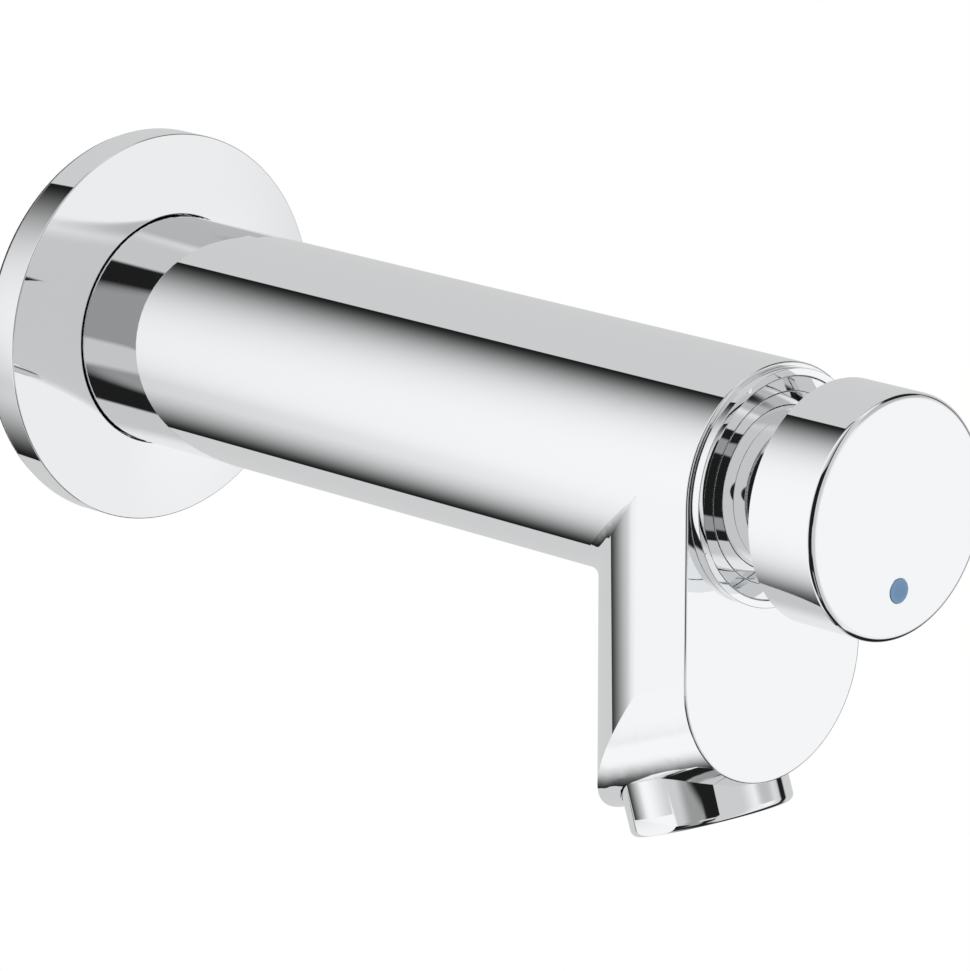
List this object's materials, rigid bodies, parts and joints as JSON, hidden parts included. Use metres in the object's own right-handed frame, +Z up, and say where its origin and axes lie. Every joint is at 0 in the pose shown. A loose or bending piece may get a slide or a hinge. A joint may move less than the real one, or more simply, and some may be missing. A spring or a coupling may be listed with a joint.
{
  "type": "push timed tap",
  "caption": "Wall-mounted self-closing tap: a round button pushes a rod that opens a spring-closed timed valve, and water leaves through an aerator under the front end.",
  "frame": {"origin": "where the tap's axis meets the finished wall, on the inlet thread's axis", "axes": "+Y goes into the wall along the tap's axis, so the tap stands out of the wall along -Y; +Z is up"},
  "size_m": [0.0716, 0.2049, 0.1011],
  "materials": {
    "chrome": "polished chrome plating on brass",
    "brass": "turned brass",
    "steel": "stainless steel",
    "rubber": "black moulded rubber",
    "foam": "closed-cell foam rubber",
    "fibre": "pressed fibre sheet",
    "moulding": "moulded white acetal",
    "index": "glossy blue plug"
  },
  "bodies": {
    "tap": {"tap_body": "chrome", "inlet_connector": "brass", "inlet_washer": "fibre", "dirt_strainer": "steel", "flow_limiter": "moulding", "bonnet_collar": "chrome", "collar_ring": "rubber", "guide_bush": "chrome", "wiper_ring": "rubber", "cartridge_housing": "moulding", "cartridge_rear_ring": "rubber", "cartridge_front_ring": "rubber", "valve_seat": "steel", "dashpot_cup": "moulding", "timing_screw": "brass", "rod_seal": "rubber", "rod_guide": "moulding", "return_spring": "steel", "aerator_housing": "chrome", "outlet_washer": "rubber", "aerator_insert": "moulding", "outlet_screen": "moulding"},
    "button": {"push_button": "chrome", "index_dot": "index", "button_carrier": "chrome", "carrier_screw": "steel", "push_rod": "steel", "valve_disc": "brass", "valve_washer": "rubber", "timing_piston": "moulding", "piston_lip_seal": "rubber", "piston_nut": "brass"},
    "rosette": {"wall_rosette": "chrome", "rosette_grip_ring": "rubber", "wall_gasket": "foam"}
  },
  "joints": [
    {"name": "button_push", "type": "slide", "parent": "tap", "child": "button", "axis": [0, 1, 0], "range_m": [0, 0.008], "stiffness_N_per_m": 2500, "springref_m": -0.01, "deforming": ["return_spring"]},
    {"name": "rosette_slide", "type": "slide", "parent": "tap", "child": "rosette", "axis": [0, -1, 0], "range_m": [0, 0.012]}
  ]
}
